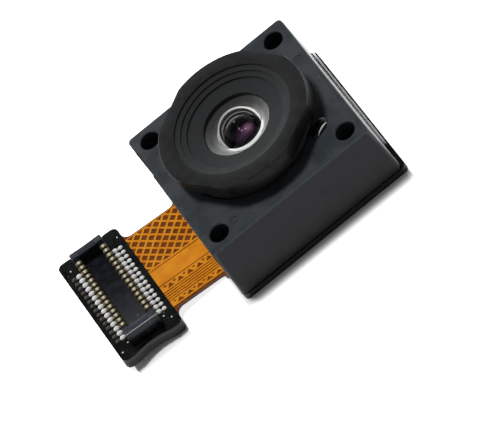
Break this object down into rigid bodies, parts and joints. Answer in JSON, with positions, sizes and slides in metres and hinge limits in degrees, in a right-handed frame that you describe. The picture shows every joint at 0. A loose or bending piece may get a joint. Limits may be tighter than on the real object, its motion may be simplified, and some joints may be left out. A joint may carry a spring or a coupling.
{
  "type": "camera module",
  "caption": "Wide-angle camera module: round flat-sided lens in a square holder with corner screw holes, on a flexible tail with a plug connector.",
  "frame": {"origin": "on the lens axis, in the plane of the module's flat base face", "axes": "+Z along the lens axis out of the front lens; -X along the flexible tail to the connector; +Y completes the right-handed frame"},
  "size_m": [0.0186, 0.011, 0.0061],
  "materials": {
    "stiffener": "matt black-brown glass-epoxy sheet",
    "polyimide": "amber polyimide film",
    "board_mask": "black coverlay, faint green cast, satin",
    "adhesive": "cured black adhesive",
    "holder_plastic": "fine matt moulded black, bluish grey in the light",
    "lock_adhesive": "glossy black cured drop",
    "barrel_plastic": "matt black moulded",
    "bezel_metal": "fine bead-blasted, pale grey",
    "lens_glass": "polished, coated",
    "coated_glass": "polished with a purple anti-reflection coating",
    "spacer_black": "matt black, light absorbing",
    "filter_glass": "polished pale blue-green filter glass",
    "solder": "bright tin",
    "silicon": "dark polished die",
    "capacitor_ceramic": "satin tan ceramic",
    "copper": "copper foil seen as light orange under the film",
    "coverlay_film": "thin clear amber film, satin gloss",
    "plug_plastic": "black moulded, satin",
    "contact_gold": "gold plated",
    "anchor_metal": "dull tinned metal"
  },
  "bodies": {
    "root": {"base_stiffener": "stiffener", "flex_film": "polyimide", "sensor_board": "board_mask", "holder_adhesive": "adhesive", "lens_holder": "holder_plastic", "lens_lock_adhesive": "lock_adhesive", "lens_barrel": "barrel_plastic", "bezel_ring": "bezel_metal", "front_element": "lens_glass", "front_spacer": "spacer_black", "second_element": "coated_glass", "aperture_stop": "spacer_black", "third_element": "lens_glass", "rear_spacer": "spacer_black", "rear_element": "lens_glass", "ir_filter": "filter_glass", "sensor_solder_balls": "solder", "image_sensor": "silicon", "sensor_cover_glass": "lens_glass", "capacitors": "capacitor_ceramic", "capacitor_terminals": "solder", "flex_copper": "copper", "flex_coverlay": "coverlay_film", "board_stiffener": "stiffener", "board_coverlay": "board_mask", "plug_housing": "plug_plastic", "plug_contacts": "contact_gold", "plug_solder": "solder", "plug_anchors": "anchor_metal", "board_vias": "solder"}
  },
  "joints": []
}
